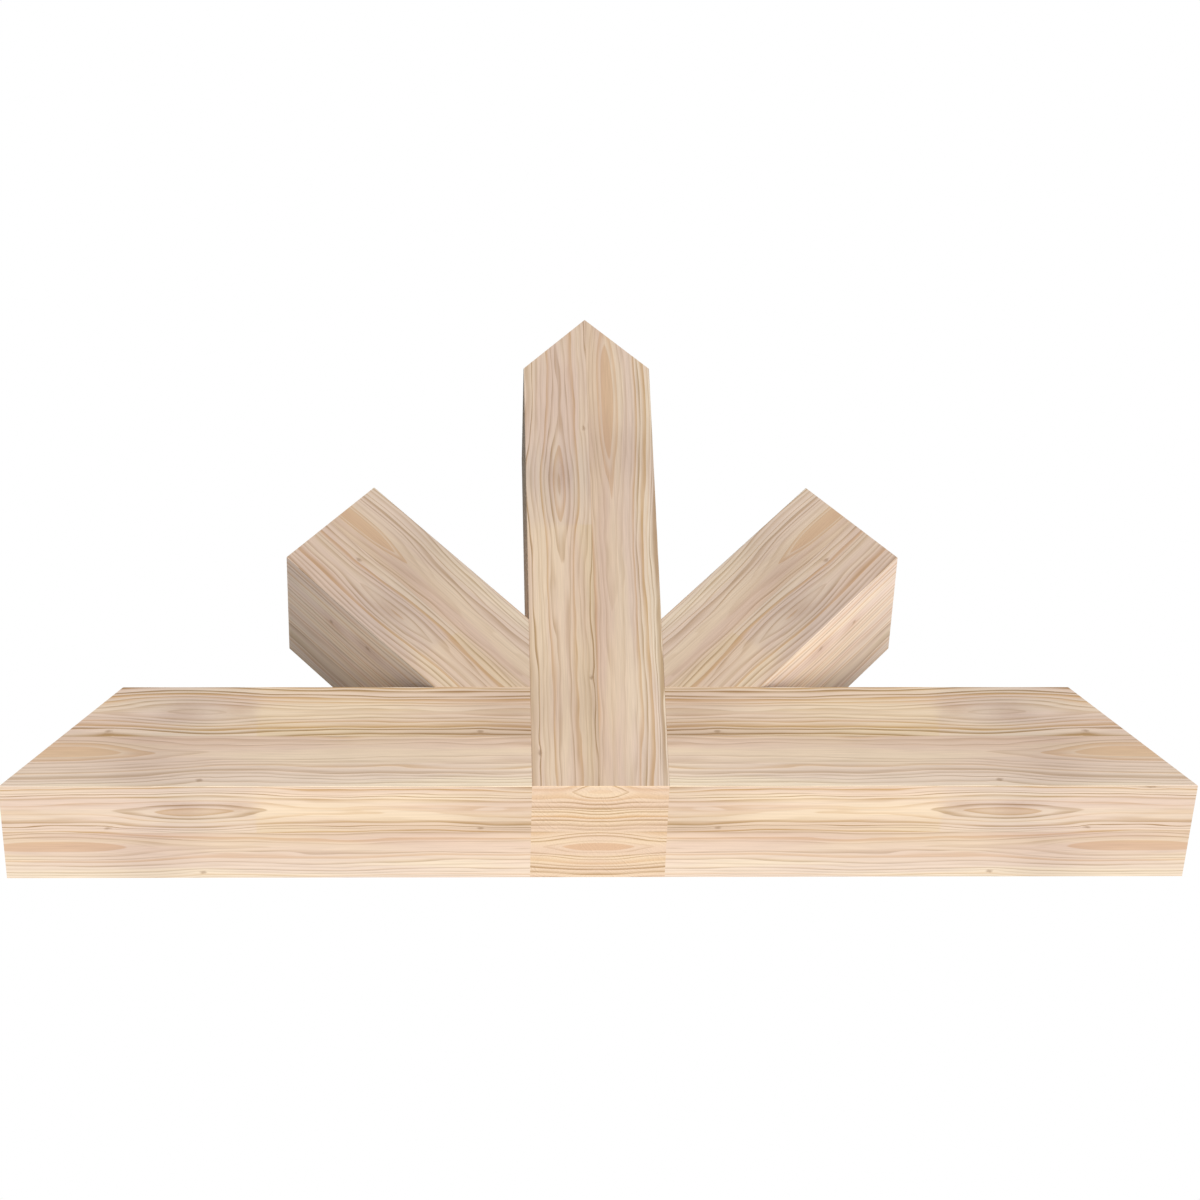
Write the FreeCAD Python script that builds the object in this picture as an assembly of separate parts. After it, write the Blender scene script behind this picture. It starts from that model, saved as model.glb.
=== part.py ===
import FreeCAD, Part
import math
import os

# Decorative gable truss: a king post, a bottom chord in two halves and two raking braces.
# Every timber is glued up from four staves, and hidden dowels tie the timbers together.
# Millimetres. The origin is the middle of the underside, X runs along the chord, Z is up
# and the front looks towards -Y.

INCH = 25.4

# Driving dimensions
SPAN = 48 * INCH  # from tip to tip along the underside
PITCH = 14 / 12  # rise over run of the roof that the truss sits under
TIMBER = 5.5 * INCH  # planed width and depth of every timber
BRACE_ANGLE = math.radians(50.6)  # lean of the braces above level
ARRIS = 0.5  # chamfer that sanding leaves along the long edges

# Dowels
TIE_DIAMETER = 1.0 * INCH  # through the post, into both halves of the chord
TIE_DEPTH = 2.0 * INCH  # how far a tie dowel reaches into each half
PEG_DIAMETER = 0.75 * INCH  # from the foot of a brace into the post or the chord
PEG_LENGTH = 3.0 * INCH
PEG_RISE = 2.0 * INCH  # height of the post pegs above the chord
DOWEL_CHAMFER = 1.5
GLUE_RELIEF = 1.5  # empty end left in a blind hole for spare glue

# Worked out from the driving dimensions
HALF = TIMBER / 2
STAVE_MIDDLE = TIMBER / 4
REACH = 2 * SPAN  # larger than the truss in every direction
PARALLEL = 1e-6  # sine of the widest angle between lines that count as parallel
PEAK = SPAN / 2 * PITCH
SHOULDER = (SPAN / 2 - HALF) * PITCH
CHORD_TOP_END = SPAN / 2 - TIMBER / PITCH
RAKE_X = math.cos(BRACE_ANGLE)
RAKE_Z = math.sin(BRACE_ANGLE)
SEAT_LEG = TIMBER / (RAKE_X + RAKE_Z)  # a brace bears this far on the post and on the chord

LEVEL = FreeCAD.Vector(1, 0, 0)
DEEP = FreeCAD.Vector(0, 1, 0)
UPRIGHT = FreeCAD.Vector(0, 0, 1)
SIDES = {"left": -1, "right": 1}
LAYERS = {"front": -1, "rear": 1}


def timber_from(outline):
    """A timber with this outline seen from the front, through the whole depth."""
    points = [FreeCAD.Vector(x, -HALF, z) for x, z in outline]
    face = Part.Face(Part.makePolygon(points + points[:1]))
    return face.extrude(DEEP * TIMBER)


def is_arris(edge, directions):
    """Whether an edge of the front or back face runs along one of the directions."""
    start, end = (vertex.Point for vertex in edge.Vertexes)
    on_face = abs(start.y) > HALF - ARRIS and abs(end.y - start.y) < ARRIS
    run = (end - start).normalize()
    return on_face and any(run.cross(direction).Length < PARALLEL for direction in directions)


def ease(timber, *directions):
    """Take the sharp corner off the edges that run along the directions."""
    return timber.makeChamfer(ARRIS, [edge for edge in timber.Edges if is_arris(edge, directions)])


def half_space(through, towards):
    """A block larger than the truss that stands on the plane through a point."""
    block = Part.makeBox(REACH, REACH, REACH, FreeCAD.Vector(-REACH / 2, -REACH / 2, 0))
    block.Placement = FreeCAD.Placement(through, FreeCAD.Rotation(UPRIGHT, towards))
    return block


def staves_of(name, timber, through, places):
    """Saw a timber along its two glue planes. Places maps a word to the side that it lies on."""
    staves = {}
    for layer, sign in LAYERS.items():
        board = timber.common(half_space(FreeCAD.Vector(), DEEP * sign))
        for place, towards in places.items():
            stave = board.common(half_space(through, towards))
            staves[f"{name}_{layer}_{place}_stave"] = stave.Solids[0]
    return staves


def king_post():
    """The upright, with its head cut to both roof slopes."""
    outline = [(-HALF, 0), (HALF, 0), (HALF, SHOULDER), (0, PEAK), (-HALF, SHOULDER)]
    timber = ease(timber_from(outline), UPRIGHT, LEVEL)
    places = {side: LEVEL * sign for side, sign in SIDES.items()}
    return staves_of("king_post", timber, FreeCAD.Vector(), places)


def half_chord(side):
    """One half of the bottom chord, butted on the post and cut to the roof slope outside."""
    sign = SIDES[side]
    outline = [(HALF, 0), (SPAN / 2, 0), (CHORD_TOP_END, TIMBER), (HALF, TIMBER)]
    timber = ease(timber_from([(sign * x, z) for x, z in outline]), LEVEL)
    places = {"upper": UPRIGHT, "lower": -UPRIGHT}
    return staves_of(f"{side}_chord", timber, UPRIGHT * HALF, places)


def meet_roof(x, z):
    """Where a line that rakes outwards from a point meets the roof slope."""
    run = ((SPAN / 2 - x) * PITCH - z) / (RAKE_Z + RAKE_X * PITCH)
    return x + run * RAKE_X, z + run * RAKE_Z


def brace(side):
    """A raking strut, birdsmouthed into the corner of post and chord, cut to the roof above."""
    sign = SIDES[side]
    corner = (HALF, TIMBER)
    toe = (HALF + SEAT_LEG, TIMBER)
    heel = (HALF, TIMBER + SEAT_LEG)
    outline = [corner, toe, meet_roof(*toe), meet_roof(*heel), heel]
    rake = FreeCAD.Vector(sign * RAKE_X, 0, RAKE_Z)
    timber = ease(timber_from([(sign * x, z) for x, z in outline]), rake)
    through = FreeCAD.Vector(sign * (HALF + SEAT_LEG / 2), 0, TIMBER + SEAT_LEG / 2)
    above = FreeCAD.Vector(-sign * RAKE_Z, 0, RAKE_X)
    return staves_of(f"{side}_brace", timber, through, {"upper": above, "lower": -above})


def dowel(diameter, start, direction, length):
    """A round pin with chamfered ends."""
    pin = Part.makeCylinder(diameter / 2, length, start, direction)
    rims = [edge for edge in pin.Edges if isinstance(edge.Curve, Part.Circle)]
    return pin.makeChamfer(DOWEL_CHAMFER, rims)


def bore(diameter, start, direction, length):
    """The hole for a dowel, with room for glue past both of its ends."""
    mouth = start - direction * GLUE_RELIEF
    return Part.makeCylinder(diameter / 2, length + 2 * GLUE_RELIEF, mouth, direction)


def dowel_places():
    """Each group of like dowels, as the arguments of dowel and bore."""
    depths = [sign * STAVE_MIDDLE for sign in LAYERS.values()]
    tie_end = -HALF - TIE_DEPTH
    ties = []
    post_pegs = []
    seat_pegs = []
    for y in depths:
        for z in (STAVE_MIDDLE, TIMBER - STAVE_MIDDLE):
            ties.append((TIE_DIAMETER, FreeCAD.Vector(tie_end, y, z), LEVEL, -2 * tie_end))
        for sign in SIDES.values():
            post_start = FreeCAD.Vector(sign * (HALF - PEG_LENGTH / 2), y, TIMBER + PEG_RISE)
            post_pegs.append((PEG_DIAMETER, post_start, LEVEL * sign, PEG_LENGTH))
            seat_start = FreeCAD.Vector(sign * TIMBER, y, TIMBER - PEG_LENGTH / 2)
            seat_pegs.append((PEG_DIAMETER, seat_start, UPRIGHT, PEG_LENGTH))
    return {
        "chord_tie_dowels": ties,
        "brace_post_dowels": post_pegs,
        "brace_seat_dowels": seat_pegs,
    }


def truss():
    """Every node of the truss by name."""
    groups = dowel_places()
    bores = [bore(*place) for places in groups.values() for place in places]
    staves = king_post()
    for side in SIDES:
        staves.update(half_chord(side))
        staves.update(brace(side))
    nodes = {}
    for name, stave in staves.items():
        for hole in bores:
            if hole.common(stave).Volume > 0:
                stave = stave.cut(hole)
        nodes[name] = stave.Solids[0]
    for name, places in groups.items():
        nodes[name] = Part.makeCompound([dowel(*place) for place in places])
    return nodes


os.makedirs("parts", exist_ok=True)
for node_name, node_shape in truss().items():
    node_shape.exportStep(f"parts/{node_name}.step")
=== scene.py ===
import itertools
import math
from dataclasses import dataclass, replace

import bpy
from bpy.props import FloatProperty, FloatVectorProperty, IntProperty, PointerProperty
from mathutils import Matrix, Vector


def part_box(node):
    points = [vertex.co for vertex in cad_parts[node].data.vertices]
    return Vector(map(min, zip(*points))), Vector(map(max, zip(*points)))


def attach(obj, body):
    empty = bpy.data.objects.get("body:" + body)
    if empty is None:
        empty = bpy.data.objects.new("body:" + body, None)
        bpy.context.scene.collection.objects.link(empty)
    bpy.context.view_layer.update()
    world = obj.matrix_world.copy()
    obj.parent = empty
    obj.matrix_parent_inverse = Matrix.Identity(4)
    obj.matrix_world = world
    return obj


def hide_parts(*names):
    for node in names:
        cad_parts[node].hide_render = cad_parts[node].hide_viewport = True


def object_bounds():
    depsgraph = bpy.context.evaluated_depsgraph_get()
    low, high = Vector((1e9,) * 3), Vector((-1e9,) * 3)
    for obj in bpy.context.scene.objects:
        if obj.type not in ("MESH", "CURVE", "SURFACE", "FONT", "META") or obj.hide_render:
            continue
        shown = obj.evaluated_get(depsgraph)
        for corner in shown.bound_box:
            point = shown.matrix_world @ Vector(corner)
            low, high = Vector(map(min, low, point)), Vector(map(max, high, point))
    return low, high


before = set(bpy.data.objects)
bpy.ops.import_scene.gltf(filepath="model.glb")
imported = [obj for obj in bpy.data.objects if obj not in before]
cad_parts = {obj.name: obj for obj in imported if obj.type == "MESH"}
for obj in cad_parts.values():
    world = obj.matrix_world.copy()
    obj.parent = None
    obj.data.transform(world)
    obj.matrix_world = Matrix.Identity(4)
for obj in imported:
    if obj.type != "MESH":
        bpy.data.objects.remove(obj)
CAD_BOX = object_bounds()

bl_info = {
    "name": "Decorative Gable Truss",
    "version": (1, 0, 0),
    "blender": (4, 5, 0),
    "location": "View3D > Sidebar > Gable Truss",
    "description": "Gives a glued timber gable truss its wood, its dowels and a plain studio",
    "category": "Object",
}

# The truss, read from the frame. Metres, X along the chord, Z up, the front towards -Y.
TIP = CAD_BOX[1].x
PEAK = CAD_BOX[1].z
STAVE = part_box("king_post_front_right_stave")[1].x  # a stave is square, half a timber wide
MIDDLE = STAVE / 2
BRACE_ANGLE = math.radians(50.6)  # lean of the braces above level

LEVEL = Vector((1, 0, 0))
UPRIGHT = Vector((0, 0, 1))
FRONT = Vector((0, -1, 0))
SIDES = {"left": -1, "right": 1}
LAYERS = {"front": 1, "rear": -1}

# Board space is that of one face of a stave: along it from the outer end, across it from its
# middle towards the glue line, and out of it from the middle of the stave.
MILLIMETRE = 0.001
FACE = MIDDLE / MILLIMETRE  # from the middle of a stave to its faces


class FirSettings(bpy.types.PropertyGroup):
    """Colours and grain of the staves."""

    early_colour: FloatVectorProperty(
        name="Early Wood",
        description="Pale wood that grows in spring, most of every ring",
        subtype="COLOR",
        min=0,
        max=1,
        default=(0.835, 0.652, 0.5),
    )
    late_colour: FloatVectorProperty(
        name="Late Wood",
        description="Brown line that closes most rings",
        subtype="COLOR",
        min=0,
        max=1,
        default=(0.46, 0.285, 0.145),
    )
    orange_colour: FloatVectorProperty(
        name="Orange Late Wood",
        description="Line that closes one of the warmer rings",
        subtype="COLOR",
        min=0,
        max=1,
        default=(0.6, 0.37, 0.18),
    )
    heart_colour: FloatVectorProperty(
        name="Heartwood",
        description="Warm bands close to the heart of the tree",
        subtype="COLOR",
        min=0,
        max=1,
        default=(0.73, 0.49, 0.315),
    )
    knot_colour: FloatVectorProperty(
        name="Knots",
        description="Core of the pin knots",
        subtype="COLOR",
        min=0,
        max=1,
        default=(0.30, 0.165, 0.08),
    )
    ring_width: FloatProperty(
        name="Ring Width",
        description="Yearly growth of the tree",
        unit="LENGTH",
        default=0.0047,
    )
    end_ring_width: FloatProperty(
        name="End Ring Width",
        description="Growth rings as a sawn end shows them",
        unit="LENGTH",
        default=0.0055,
    )
    wander: FloatProperty(
        name="Wander",
        description="How far the rings stray from round",
        unit="LENGTH",
        default=0.0028,
    )
    contrast: FloatProperty(
        name="Grain Contrast",
        description="How dark the late wood is drawn",
        subtype="FACTOR",
        min=0,
        max=1,
        default=1.0,
    )
    relief: FloatProperty(
        name="Grain Relief",
        description="Height of the late wood above the early wood after sanding",
        unit="LENGTH",
        default=0.00012,
    )


class DowelSettings(bpy.types.PropertyGroup):
    """Sizes and colour of the dowels that hold the timbers together."""

    colour: FloatVectorProperty(
        name="Dowel Wood",
        description="Turned hardwood",
        subtype="COLOR",
        min=0,
        max=1,
        default=(0.62, 0.42, 0.25),
    )
    line_colour: FloatVectorProperty(
        name="Dowel Grain",
        description="Darker wood at the end of every ring",
        subtype="COLOR",
        min=0,
        max=1,
        default=(0.5, 0.32, 0.18),
    )
    ring_width: FloatProperty(
        name="Ring Width",
        description="Yearly growth of the hardwood",
        unit="LENGTH",
        default=0.0022,
    )
    wander: FloatProperty(
        name="Wander",
        description="How far the rings stray from straight",
        unit="LENGTH",
        default=0.001,
    )
    relief: FloatProperty(
        name="Grain Relief",
        description="Height of the fibres",
        unit="LENGTH",
        default=0.0001,
    )
    tie_diameter: FloatProperty(
        name="Tie Diameter",
        description="Dowels through the post into both halves of the chord",
        unit="LENGTH",
        default=0.0254,
    )
    peg_diameter: FloatProperty(
        name="Peg Diameter",
        description="Dowels in the feet of the braces",
        unit="LENGTH",
        default=0.01905,
    )
    peg_length: FloatProperty(
        name="Peg Length",
        description="Length of the dowels in the feet of the braces",
        unit="LENGTH",
        default=0.0762,
    )
    chamfer: FloatProperty(
        name="Chamfer",
        description="Taken off both ends of a dowel",
        unit="LENGTH",
        default=0.0015,
    )
    flutes: IntProperty(
        name="Flutes",
        description="Glue grooves around a dowel",
        min=3,
        default=16,
    )
    flute_depth: FloatProperty(
        name="Flute Depth",
        description="Depth of a glue groove",
        unit="LENGTH",
        default=0.0006,
    )


class StageSettings(bpy.types.PropertyGroup):
    """Camera, lamps and floor."""

    camera_place: FloatVectorProperty(
        name="Camera Place",
        description="Where the camera stands: low in front, looking up at the gable",
        subtype="XYZ",
        unit="LENGTH",
        default=(-0.17205, -3.47435, -3.11725),
    )
    camera_pitch: FloatProperty(
        name="Camera Pitch",
        description="How far the camera looks up",
        subtype="ANGLE",
        default=math.radians(44.78778),
    )
    camera_yaw: FloatProperty(
        name="Camera Yaw",
        description="How far the camera looks to the right",
        subtype="ANGLE",
        default=math.radians(2.99288),
    )
    camera_roll: FloatProperty(
        name="Camera Roll",
        description="How far the camera is turned about its view",
        subtype="ANGLE",
        default=math.radians(-2.08058),
    )
    lens: FloatProperty(
        name="Lens",
        description="Focal length in millimetres on a 36 mm sensor",
        default=136.3834,
    )
    key_strength: FloatProperty(
        name="Key Strength",
        description="Light from low in front, right of the camera",
        default=2.57,
    )
    fill_strength: FloatProperty(
        name="Fill Strength",
        description="Light from farther to the right",
        default=1.47,
    )
    back_strength: FloatProperty(
        name="Back Strength",
        description="Light from behind and above",
        default=2.4,
    )
    key_spread: FloatProperty(
        name="Key Spread",
        description="Width of the key as seen from the truss, which softens its shadows",
        subtype="ANGLE",
        default=math.radians(50),
    )
    fill_spread: FloatProperty(
        name="Fill Spread",
        description="Width of the fill as seen from the truss",
        subtype="ANGLE",
        default=math.radians(18),
    )
    back_spread: FloatProperty(
        name="Back Spread",
        description="Width of the lamp behind, as seen from the truss",
        subtype="ANGLE",
        default=math.radians(20),
    )
    ambient: FloatProperty(
        name="Ambient",
        description="Even light from all round",
        default=0.17,
    )
    ambient_colour: FloatVectorProperty(
        name="Ambient Colour",
        description="Slightly cool, as light from a white room is beside warm wood",
        subtype="COLOR",
        min=0,
        max=1,
        default=(0.70, 0.86, 1.0),
    )
    floor_colour: FloatVectorProperty(
        name="Floor",
        description="Paint of the floor",
        subtype="COLOR",
        min=0,
        max=1,
        default=(0.92, 0.905, 0.89),
    )
    floor_glow: FloatProperty(
        name="Floor Glow",
        description="Brightens the floor alone, in place of lamps that would change the truss",
        default=0.3,
    )
    floor_size: FloatProperty(
        name="Floor Size",
        description="Side of the floor",
        unit="LENGTH",
        default=40.0,
    )


class Wiring:
    """Adds nodes to a tree and joins them, so that a pattern reads as a formula."""

    def __init__(self, tree):
        self.tree = tree

    def feed(self, socket, value):
        """Join an output to a socket, or set the socket to a plain value."""
        if isinstance(value, bpy.types.NodeSocket):
            self.tree.links.new(value, socket)
        else:
            socket.default_value = value

    def node(self, kind, inputs=None, **settings):
        """A node with its settings and its inputs, which are given by name or by number."""
        made = self.tree.nodes.new(kind)
        for name, value in settings.items():
            setattr(made, name, value)
        for key, value in (inputs or {}).items():
            self.feed(made.inputs[key], value)
        return made

    def group(self, name, inputs):
        """The outputs of a shared shader group that is given values of its own here."""
        tree = bpy.data.node_groups[name]
        return self.node("ShaderNodeGroup", inputs, node_tree=tree).outputs

    def math(self, operation, *values):
        """One step of arithmetic."""
        made = self.node("ShaderNodeMath", dict(enumerate(values)), operation=operation)
        return made.outputs["Value"]

    def rise(self, value, start, end):
        """0 up to start, 1 past end, and smooth between them."""
        inputs = {"Value": value, "From Min": start, "From Max": end}
        made = self.node("ShaderNodeMapRange", inputs, interpolation_type="SMOOTHSTEP")
        return made.outputs["Result"]

    def span(self, value, low, high):
        """A value of 0 to 1 stretched over low to high."""
        made = self.node("ShaderNodeMapRange", {"Value": value, "To Min": low, "To Max": high})
        return made.outputs["Result"]

    def bell(self, value, middle, width):
        """1 at the middle, falling off evenly on both sides."""
        off = self.math("DIVIDE", self.math("SUBTRACT", value, middle), width)
        return self.math("EXPONENT", self.math("MULTIPLY", self.math("MULTIPLY", off, off), -1.0))

    def split(self, vector):
        """The three parts of a vector."""
        return self.node("ShaderNodeSeparateXYZ", {"Vector": vector}).outputs

    def streaks(self, board, seed, along, across, detail=1.0):
        """Noise drawn out along the grain, from about 0 to 1."""
        shift = self.node("ShaderNodeCombineXYZ", {"X": seed, "Y": seed, "Z": seed})
        stretch = (1 / along, 1 / across, 1 / across)
        inputs = {0: board, 1: stretch, 2: shift.outputs["Vector"]}
        place = self.node("ShaderNodeVectorMath", inputs, operation="MULTIPLY_ADD")
        inputs = {"Vector": place.outputs["Vector"], "Scale": 1.0, "Detail": detail}
        return self.node("ShaderNodeTexNoise", inputs).outputs["Fac"]

    def ripple(self, place):
        """Slow noise along a line, from about 0 to 1."""
        inputs = {"W": place, "Scale": 1.0, "Detail": 0.0}
        return self.node("ShaderNodeTexNoise", inputs, noise_dimensions="1D").outputs["Fac"]

    def mix(self, factor, under, over, blend="MIX"):
        """One colour laid over another."""
        made = self.node("ShaderNodeMix", data_type="RGBA", blend_type=blend)
        ends = {socket.identifier: socket for socket in made.inputs}
        self.feed(ends["Factor_Float"], factor)
        self.feed(ends["A_Color"], under)
        self.feed(ends["B_Color"], over)
        return next(out for out in made.outputs if out.identifier == "Result_Color")

    def shade(self, colour, tone, factor=1.0):
        """A colour multiplied by a tone."""
        return self.mix(factor, colour, tone, "MULTIPLY")


NUMBER = "NodeSocketFloat"
VECTOR = "NodeSocketVector"
COLOUR = "NodeSocketColor"


def opaque(colour):
    """The four values of a colour socket."""
    return (*colour, 1.0)


def new_group(name, inputs, outputs):
    """An empty shader group, as its wiring, its input sockets and its output sockets."""
    tree = bpy.data.node_groups.new(name, "ShaderNodeTree")
    for label, kind in inputs.items():
        tree.interface.new_socket(label, in_out="INPUT", socket_type=kind)
    for label, kind in outputs.items():
        tree.interface.new_socket(label, in_out="OUTPUT", socket_type=kind)
    wiring = Wiring(tree)
    entry = wiring.node("NodeGroupInput").outputs
    leave = wiring.node("NodeGroupOutput").inputs
    return wiring, entry, leave


# Growth of the rings, with lengths in millimetres of board space
ROUNDNESS = 1.5  # 2 draws the rings as ovals, 1 as diamonds
SWAY_LENGTH = 160.0  # along the stave, in which the heart sways from side to side
WAVES = ((290, 22, 1.6), (120, 9, 0.7), (48, 7, 0.5))  # length, width and reach in wanders
CALMING = 0.6  # share of the waves that is lost where the heart bulges
SEASON_PACE = 0.6  # how fast good years and poor years follow each other
SEASON_SHIFT = 0.48  # how far they shift a ring, as a share of its width
HEART_EDGE = 0.4  # half the width of the soft edge of the heartwood
LEAST_RADIUS = 1.0  # keeps the division by the radius safe at the heart


def make_growth_rings():
    """Group: which ring a point of a stave lies in, how far through it, and the heartwood.

    The heart of the tree runs along the stave below the face and bulges towards it in one place,
    where the rings close like an eye."""
    inputs = {
        "Board": VECTOR,
        "Heart Across": NUMBER,
        "Heart Below": NUMBER,
        "Heart Radius": NUMBER,
        "Bulge Place": NUMBER,
        "Bulge Length": NUMBER,
        "Bulge Height": NUMBER,
        "Faint": NUMBER,
        "Push": NUMBER,
        "Wander": NUMBER,
        "Ring Width": NUMBER,
        "Seed": NUMBER,
    }
    outputs = {"Ring": NUMBER, "Phase": NUMBER, "Heartwood": NUMBER, "Steepness": NUMBER}
    wiring, given, result = new_group("growth_rings", inputs, outputs)
    math_of = wiring.math
    board, seed, wander = given["Board"], given["Seed"], given["Wander"]
    along, across, out = wiring.split(board)

    # How far the point lies from the heart, out of the face and across it
    bulge = wiring.bell(along, given["Bulge Place"], given["Bulge Length"])
    lift = math_of("MULTIPLY", bulge, given["Bulge Height"])
    below = math_of("SUBTRACT", given["Heart Below"], lift)
    swing = wiring.ripple(math_of("ADD", math_of("DIVIDE", along, SWAY_LENGTH), seed))
    sway = math_of("MULTIPLY", wiring.span(swing, -1.0, 1.0), wander)
    off_out = math_of("SUBTRACT", math_of("ADD", out, below), FACE)
    off_across = math_of("SUBTRACT", math_of("ADD", across, sway), given["Heart Across"])

    # The radius at which the point grew, with the rings waved and pushed aside by knots
    powers = [math_of("POWER", math_of("ABSOLUTE", off), ROUNDNESS) for off in (off_out, off_across)]
    radius = math_of("POWER", math_of("ADD", *powers), 1 / ROUNDNESS)
    reach = math_of("MULTIPLY", math_of("MULTIPLY_ADD", bulge, -CALMING, 1.0), wander)
    for length, width, share in WAVES:
        wave = wiring.span(wiring.streaks(board, seed, length, width, detail=0.0), -share, share)
        radius = math_of("MULTIPLY_ADD", wave, reach, radius)
    radius = math_of("ADD", radius, given["Push"])
    grown = math_of("SUBTRACT", radius, given["Heart Radius"])

    # The year in which it grew
    years = math_of("DIVIDE", math_of("MAXIMUM", grown, 0.0), given["Ring Width"])
    season = wiring.ripple(math_of("MULTIPLY_ADD", years, SEASON_PACE, seed))
    years = math_of("ADD", years, wiring.span(season, -SEASON_SHIFT, SEASON_SHIFT))
    wiring.feed(result["Ring"], math_of("FLOOR", years))
    wiring.feed(result["Phase"], math_of("FRACT", years))
    wiring.feed(result["Heartwood"], wiring.rise(grown, HEART_EDGE, -HEART_EDGE))

    # How steeply the rings meet the face, which counts for less close to the heart
    share = math_of("DIVIDE", math_of("ABSOLUTE", off_across), math_of("MAXIMUM", radius, LEAST_RADIUS))
    steepness = math_of("SQRT", math_of("MINIMUM", share, 1.0))
    shown = wiring.rise(grown, 0.0, given["Faint"])
    wiring.feed(result["Steepness"], math_of("MULTIPLY", steepness, shown))


# Drawing of the rings. Every ring draws three lots from 0 to 1: its darkness, warmth and width.
LINE_START = (0.05, 0.6)  # where in a ring its line of late wood starts, by its width
LINE_FULL = 0.92  # where in a ring the line is darkest
LINE_END = 0.94  # where it starts to fade into the next spring
LINE_DARKNESS = (0.35, 1.25)  # of the palest and the darkest ring
LINE_BREAK = (75, 5)  # length and width of the stretches in which a line comes and goes
LINE_FADING = (0.15, 1.95)  # strength of a line where it is most broken, and where least
LINE_STEEPNESS = (0.3, 0.9)  # strength where a ring lies flat in the face, and where it is steep
ORANGE_WARMTH = (0.55, 0.75)  # from brown to orange lines
GLOWING_WARMTH = (0.72, 0.8)  # from pale rings to those that are warm throughout
GLOW_STRENGTH = 0.55  # how much of the heart's colour such a ring takes on
GLOW_START = (0.05, 0.7)  # where in a warm ring the warmth starts, and where it is full
HEART_STRENGTH = 0.8  # how much of its colour the heart itself shows
TINT_PATCH = (210, 17)  # length and width of the pink and yellow patches
TINT_EDGE = (0.35, 0.65)  # how sharply they meet
PINK_TINT = (0.965, 0.94, 0.95, 1)
YELLOW_TINT = (1.02, 1.025, 0.98, 1)


def make_fir_grain():
    """Group: the colour of fir at a place in a ring, and how much of it is late wood."""
    inputs = {
        "Board": VECTOR,
        "Ring": NUMBER,
        "Phase": NUMBER,
        "Heartwood": NUMBER,
        "Steepness": NUMBER,
        "Early": COLOUR,
        "Late": COLOUR,
        "Orange Late": COLOUR,
        "Heart": COLOUR,
        "Contrast": NUMBER,
        "Seed": NUMBER,
    }
    wiring, given, result = new_group("fir_grain", inputs, {"Colour": COLOUR, "Late": NUMBER})
    math_of = wiring.math
    board, phase, seed = given["Board"], given["Phase"], given["Seed"]
    year = math_of("ADD", given["Ring"], seed)
    lots = wiring.node("ShaderNodeTexWhiteNoise", {"W": year}, noise_dimensions="1D")
    darkness, warmth, width = wiring.split(lots.outputs["Color"])

    # The line of late wood that closes the ring
    started = wiring.rise(phase, wiring.span(width, *LINE_START), LINE_FULL)
    late = math_of("MULTIPLY", started, wiring.rise(phase, 1.0, LINE_END))
    fading = wiring.span(wiring.streaks(board, seed, *LINE_BREAK), *LINE_FADING)
    late = math_of("MULTIPLY", late, math_of("MULTIPLY", wiring.span(darkness, *LINE_DARKNESS), fading))
    late = math_of("MULTIPLY", late, wiring.span(given["Steepness"], *LINE_STEEPNESS))
    late = math_of("MINIMUM", late, 1.0)
    line = wiring.mix(wiring.rise(warmth, *ORANGE_WARMTH), given["Late"], given["Orange Late"])

    # The early wood, the warm rings and the heart
    glow = math_of("MULTIPLY", wiring.rise(warmth, *GLOWING_WARMTH), GLOW_STRENGTH)
    glow = math_of("MULTIPLY", glow, wiring.rise(phase, *GLOW_START))
    glow = math_of("MAXIMUM", glow, math_of("MULTIPLY", given["Heartwood"], HEART_STRENGTH))
    colour = wiring.mix(glow, given["Early"], given["Heart"])
    colour = wiring.mix(math_of("MULTIPLY", late, given["Contrast"]), colour, line)
    patches = wiring.rise(wiring.streaks(board, seed, *TINT_PATCH), *TINT_EDGE)
    colour = wiring.shade(colour, wiring.mix(patches, PINK_TINT, YELLOW_TINT))
    wiring.feed(result["Colour"], colour)
    wiring.feed(result["Late"], late)


FIBRE = (45, 1.2)  # length and width of the fibres


def make_wood_fibre():
    """Group: fine fibres along the grain, from 0 to 1."""
    wiring, given, result = new_group("wood_fibre", {"Board": VECTOR, "Seed": NUMBER}, {"Fibre": NUMBER})
    fibre = wiring.streaks(given["Board"], given["Seed"], *FIBRE, detail=2.0)
    wiring.feed(result["Fibre"], fibre)


# Knots, measured in their own radii
KNOT_LENGTH = 2  # drawn out along the grain by this much
KNOT_FRAY = (5, 2.5)  # length and width of the frayed bits of the edge, in millimetres
KNOT_FRAYING = 0.7  # how far the edge strays
KNOT_CORE = (1.3, 0.2)  # where the core begins, and where it is full
KNOT_SWIRL = 2.6  # how wide the grain bends about a knot


def make_knot():
    """Group: the soft core of a knot through a stave, and the swirl of grain about it."""
    inputs = {"Board": VECTOR, "Along": NUMBER, "Across": NUMBER, "Radius": NUMBER}
    wiring, given, result = new_group("knot", inputs, {"Core": NUMBER, "Swirl": NUMBER})
    math_of = wiring.math
    along, across, out = wiring.split(given["Board"])
    run = math_of("MULTIPLY", math_of("SUBTRACT", along, given["Along"]), 1 / KNOT_LENGTH)
    off = math_of("SUBTRACT", across, given["Across"])
    squares = math_of("ADD", math_of("MULTIPLY", run, run), math_of("MULTIPLY", off, off))
    away = math_of("DIVIDE", math_of("SQRT", squares), given["Radius"])
    fray = wiring.streaks(given["Board"], 0.0, *KNOT_FRAY)
    away = math_of("ADD", away, wiring.span(fray, -KNOT_FRAYING, KNOT_FRAYING))
    wiring.feed(result["Core"], wiring.rise(away, *KNOT_CORE))
    wiring.feed(result["Swirl"], wiring.bell(away, 0.0, KNOT_SWIRL))


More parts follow.
